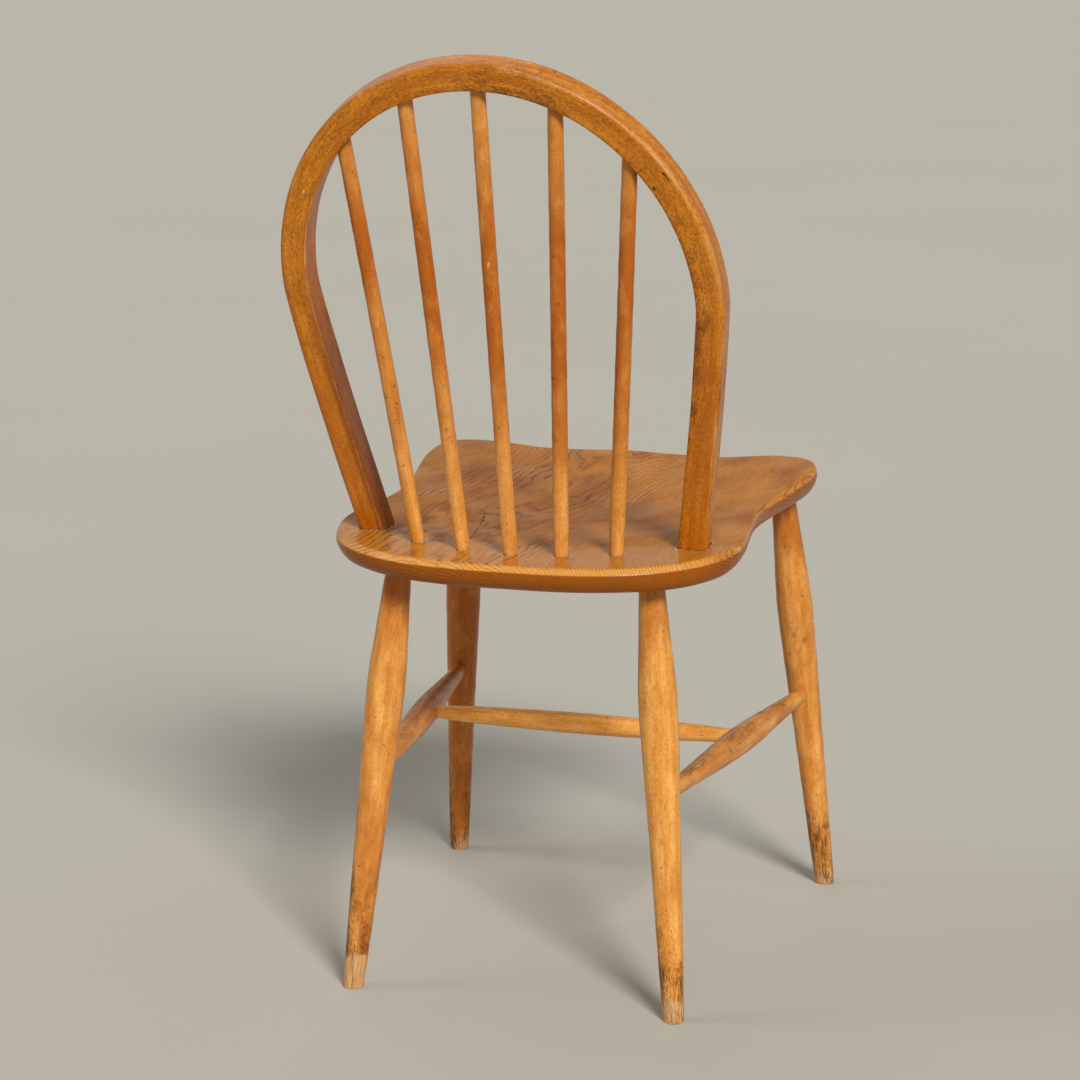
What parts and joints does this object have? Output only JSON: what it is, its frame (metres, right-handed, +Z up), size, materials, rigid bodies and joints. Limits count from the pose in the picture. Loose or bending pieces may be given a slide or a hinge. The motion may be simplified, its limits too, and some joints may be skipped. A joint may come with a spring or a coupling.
{
  "type": "hoop-back wooden chair",
  "caption": "Wooden side chair with a shaped seat, a bent hoop back filled with slim spindles, splayed turned legs and an H of stretchers; worn amber varnish.",
  "frame": {"origin": "on the floor, under the centre of the whole chair's box", "axes": "+Z up, the sitter faces -Y, +X is the sitter's left"},
  "size_m": [0.4038, 0.5364, 0.8428],
  "materials": {
    "elm_seat": "worn satin varnish over open-grained elm",
    "beech_hoop": "amber varnish, grimy and worn at the edges",
    "beech_turned": "amber varnish, scuffed, with bare worn feet",
    "wedge_wood": "sawn end grain under thin varnish"
  },
  "bodies": {
    "root": {"seat": "elm_seat", "hoop": "beech_hoop", "hoop_wedge_left": "wedge_wood", "hoop_wedge_right": "wedge_wood", "spindle_outer_left": "beech_turned", "spindle_inner_left": "beech_turned", "spindle_centre": "beech_turned", "spindle_inner_right": "beech_turned", "spindle_outer_right": "beech_turned", "leg_front_left": "beech_turned", "leg_front_right": "beech_turned", "leg_back_left": "beech_turned", "leg_back_right": "beech_turned", "side_stretcher_left": "beech_turned", "side_stretcher_right": "beech_turned", "cross_stretcher": "beech_turned"}
  },
  "joints": []
}
